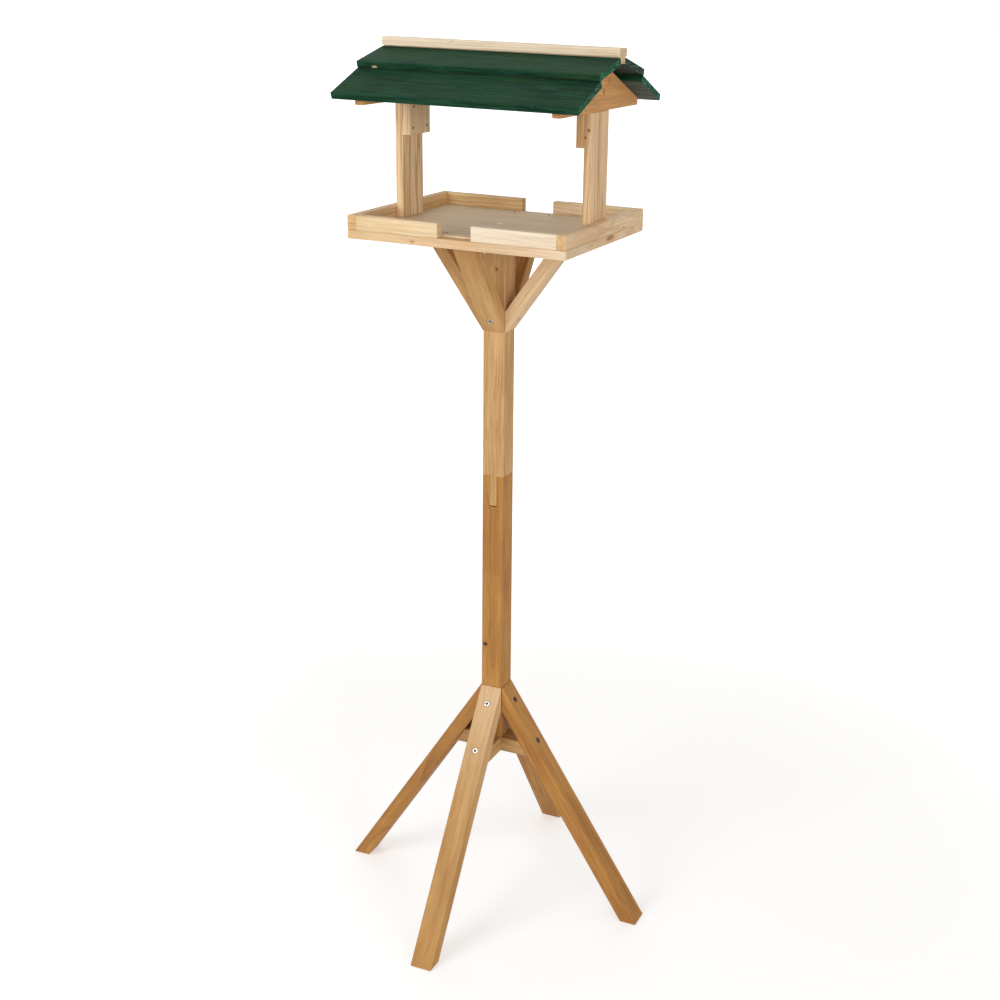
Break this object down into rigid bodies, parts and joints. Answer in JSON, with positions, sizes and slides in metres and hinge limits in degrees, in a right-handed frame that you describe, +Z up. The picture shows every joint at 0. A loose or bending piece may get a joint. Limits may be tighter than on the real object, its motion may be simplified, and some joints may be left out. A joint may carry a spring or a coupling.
{
  "type": "bird table",
  "caption": "Free-standing wooden bird table: open walled tray under a boarded pitched roof, on a two-part post with slanting braces and a four-legged foot.",
  "frame": {"origin": "on the ground under the middle of the post", "axes": "+Z up the post, X along the ridge of the roof, -Y towards the front"},
  "size_m": [0.45, 0.45, 1.17],
  "materials": {
    "brown_pine": "orange-brown oiled softwood, satin",
    "tan_pine": "tan planed softwood, satin",
    "pale_pine": "pale tan planed softwood, matt",
    "pink_pine": "pinkish planed softwood with small knots, matt",
    "cream_pine": "cream untreated softwood, matt",
    "plywood": "thin grey-beige plywood, matt",
    "green_stain": "bottle-green wood stain on softwood, satin",
    "screw_steel": "bright zinc-plated steel",
    "nail_steel": "dull bare steel"
  },
  "bodies": {
    "stand": {"lower_post": "brown_pine", "foot_batten_wide": "pale_pine", "foot_batten_deep": "pale_pine", "leg_right": "brown_pine", "leg_right_upper_screw": "screw_steel", "leg_right_lower_screw": "screw_steel", "leg_back": "brown_pine", "leg_back_upper_screw": "screw_steel", "leg_back_lower_screw": "screw_steel", "leg_left": "brown_pine", "leg_left_upper_screw": "screw_steel", "leg_left_lower_screw": "screw_steel", "leg_front": "tan_pine", "leg_front_upper_screw": "screw_steel", "leg_front_lower_screw": "screw_steel"},
    "table": {"upper_post": "tan_pine", "brace_right": "tan_pine", "brace_right_screw": "screw_steel", "rail_right": "pink_pine", "brace_back": "tan_pine", "brace_back_screw": "screw_steel", "rail_back": "pink_pine", "brace_left": "tan_pine", "brace_left_screw": "screw_steel", "rail_left": "pink_pine", "brace_front": "tan_pine", "brace_front_screw": "screw_steel", "rail_front": "pink_pine", "tray_floor": "plywood", "floor_screw": "screw_steel", "wall_front_left": "cream_pine", "floor_nail_front_left": "nail_steel", "wall_front_right": "cream_pine", "floor_nail_front_right": "nail_steel", "lower_board_front": "green_stain", "upper_board_front": "green_stain", "wall_back_left": "cream_pine", "floor_nail_back_left": "nail_steel", "wall_back_right": "cream_pine", "floor_nail_back_right": "nail_steel", "lower_board_back": "green_stain", "upper_board_back": "green_stain", "wall_left": "pink_pine", "roof_post_left": "tan_pine", "gable_left": "brown_pine", "cleat_left": "tan_pine", "cleat_left_nail_1": "nail_steel", "cleat_left_nail_2": "nail_steel", "cleat_left_nail_3": "nail_steel", "cleat_left_nail_4": "nail_steel", "wall_right": "pink_pine", "roof_post_right": "tan_pine", "gable_right": "brown_pine", "cleat_right": "tan_pine", "cleat_right_nail_1": "nail_steel", "cleat_right_nail_2": "nail_steel", "cleat_right_nail_3": "nail_steel", "cleat_right_nail_4": "nail_steel", "ridge_strip": "cream_pine", "ridge_cap": "cream_pine"}
  },
  "joints": [
    {"name": "table_lift", "type": "slide", "parent": "stand", "child": "table", "axis": [0, 0, 1], "range_m": [0, 0.05]}
  ]
}
